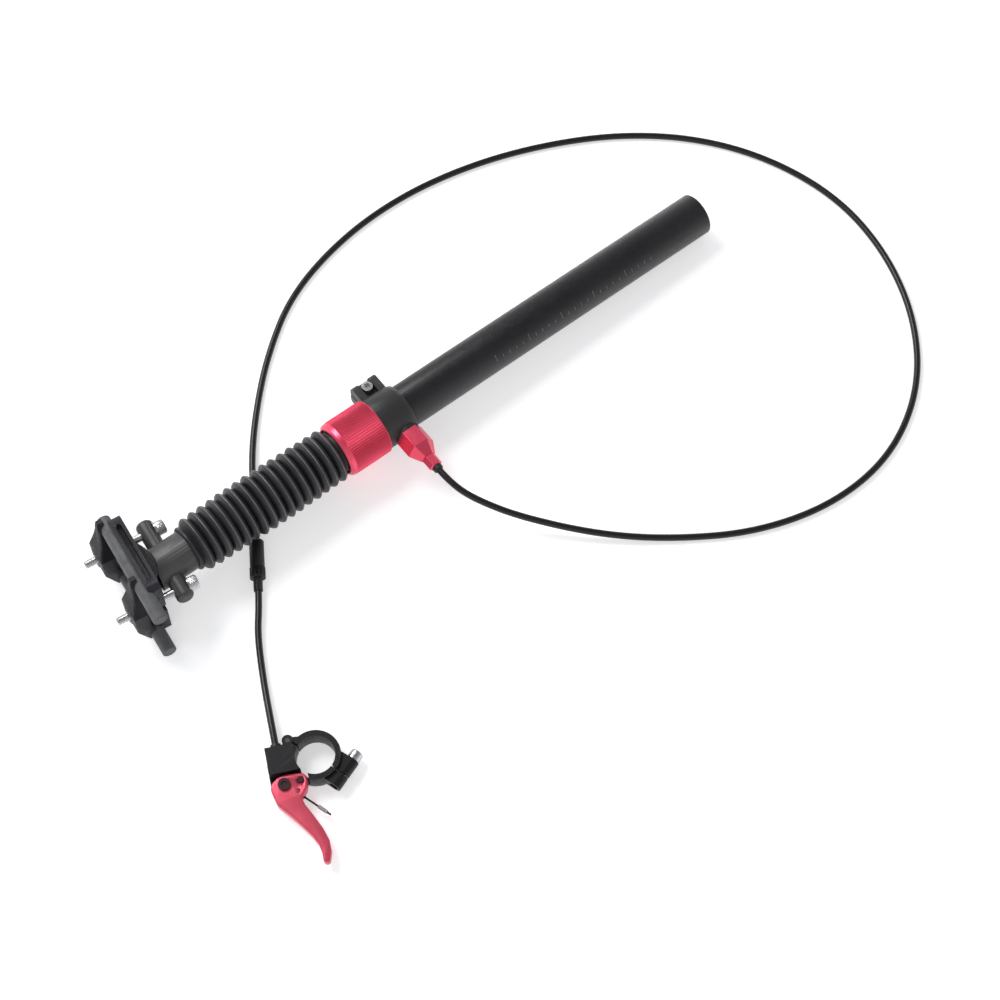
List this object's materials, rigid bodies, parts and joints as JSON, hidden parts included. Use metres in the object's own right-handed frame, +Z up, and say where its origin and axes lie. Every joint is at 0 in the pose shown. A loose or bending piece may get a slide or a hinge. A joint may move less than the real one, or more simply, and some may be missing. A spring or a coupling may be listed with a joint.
{
  "type": "dropper seatpost",
  "caption": "Bicycle seatpost that drops: a round tube with a locking collar, a ribbed gaiter over the sliding tube, a rail clamp on top and a thumb remote on a long cable.",
  "frame": {"origin": "on the post's axis at the lower face of the head collar, where the bicycle frame's tube ends", "axes": "+X level along the post towards its lower end, +Z up from the surface it lies on, cable leaving towards -Y"},
  "size_m": [0.5237, 0.3331, 0.0566],
  "materials": {
    "black_satin_tube": "satin black anodised tube",
    "black_collar": "satin black",
    "red_anodised": "red anodised",
    "grey_tube": "grey anodised",
    "dark_head": "dark grey satin",
    "black_clamp": "black anodised",
    "black_plastic": "matt black plastic",
    "housing_jacket": "black cable jacket",
    "black_rubber": "black moulded rubber",
    "bearing_plastic": "natural bearing plastic",
    "bright_steel": "bright steel",
    "dark_steel": "black oxide steel",
    "black_remote": "satin black"
  },
  "bodies": {
    "outer_post": {"outer_tube": "black_satin_tube", "head_collar": "black_collar", "collar_pinch_screw": "bright_steel", "collar_nut": "red_anodised", "upper_bush": "bearing_plastic", "wiper_seal": "black_rubber", "snap_ring": "bright_steel", "base_plug": "grey_tube", "guide_rod": "bright_steel", "main_spring": "bright_steel", "gaiter": "black_rubber", "pin_guide_bush": "bearing_plastic", "pin_spring": "bright_steel", "lock_housing": "red_anodised", "cable_stop": "red_anodised", "lock_ferrule": "black_plastic", "cable_housing_upper": "housing_jacket", "adjuster_sleeve": "black_plastic", "cable_housing_lower": "housing_jacket", "remote_ferrule": "black_plastic", "remote_wire": "bright_steel", "remote_body": "black_remote", "pivot_bush": "bearing_plastic", "pivot_bolt": "dark_steel", "return_spring": "bright_steel", "band_hinge_pin": "bright_steel"},
    "inner_post": {"stanchion": "grey_tube", "stanchion_plug": "grey_tube", "lower_bush": "bearing_plastic", "post_head": "dark_head", "clamp_bolt_rear": "bright_steel", "clamp_bolt_front": "bright_steel", "bolt_washer_rear": "bright_steel", "bolt_washer_front": "bright_steel"},
    "saddle_clamp": {"lower_cradle": "black_clamp", "upper_yoke_rear": "black_clamp", "upper_yoke_front": "black_clamp"},
    "rear_nut": {"nut_pin_rear": "bright_steel"},
    "front_nut": {"nut_pin_front": "bright_steel"},
    "near_rod": {"transport_rod_near": "black_plastic"},
    "far_rod": {"transport_rod_far": "black_plastic"},
    "locking_pin": {"lock_pin": "bright_steel", "lock_wire": "bright_steel"},
    "thumb_lever": {"lever": "red_anodised", "anchor_screw": "bright_steel", "wire_tail": "bright_steel", "wire_crimp": "bright_steel"},
    "bar_band": {"clamp_band": "black_remote", "bar_screw": "bright_steel"},
    "barrel": {"adjuster_barrel": "black_plastic"}
  },
  "joints": [
    {"name": "post_drop", "type": "slide", "parent": "outer_post", "child": "inner_post", "axis": [0.9994, 0, -0.0355], "range_m": [0, 0.05], "stiffness_N_per_m": 500, "springref_m": -0.06, "deforming": ["gaiter", "main_spring"]},
    {"name": "clamp_tilt", "type": "hinge", "parent": "inner_post", "child": "saddle_clamp", "pos_m": [-0.1949, 0.00533, 0.00692], "axis": [0.0355, 0, 0.9994], "range_deg": [-10, 10]},
    {"name": "rear_nut_turn", "type": "hinge", "parent": "saddle_clamp", "child": "rear_nut", "pos_m": [-0.19243, 0.02548, 0.00683], "axis": [0.0355, 0, 0.9994], "range_deg": [-11, 11]},
    {"name": "front_nut_turn", "type": "hinge", "parent": "saddle_clamp", "child": "front_nut", "pos_m": [-0.19738, -0.01482, 0.007], "axis": [0.0355, 0, 0.9994], "range_deg": [-11, 11]},
    {"name": "near_rod_slide", "type": "slide", "parent": "saddle_clamp", "child": "near_rod", "axis": [0.1218, 0.9925, -0.0043], "range_m": [0, 0.07]},
    {"name": "far_rod_slide", "type": "slide", "parent": "saddle_clamp", "child": "far_rod", "axis": [0.1218, 0.9925, -0.0043], "range_m": [0, 0.07]},
    {"name": "lever_pull", "type": "hinge", "parent": "outer_post", "child": "thumb_lever", "pos_m": [-0.18901, -0.14187, -0.01435], "axis": [0, 0, -1], "range_deg": [0, 20], "stiffness_Nm_per_rad": 0.6, "springref_deg": -17.19},
    {"name": "pin_pull", "type": "slide", "parent": "outer_post", "child": "locking_pin", "axis": [0, -1, 0], "range_m": [0, 0.0034], "deforming": ["pin_spring"]},
    {"name": "band_open", "type": "hinge", "parent": "outer_post", "child": "bar_band", "pos_m": [-0.17295, -0.12277, -0.01525], "axis": [0, 0, 1], "range_deg": [0, 65]},
    {"name": "barrel_turn", "type": "hinge", "parent": "outer_post", "child": "barrel", "pos_m": [-0.1242, -0.0243, -0.01705], "axis": [-0.5476, -0.8368, 0], "continuous": true}
  ],
  "couplings": [
    {"joint": "rear_nut_turn", "follows": "clamp_tilt", "ratio": -1},
    {"joint": "front_nut_turn", "follows": "clamp_tilt", "ratio": -1},
    {"joint": "pin_pull", "follows": "lever_pull", "m_per_rad": 0.00875}
  ]
}
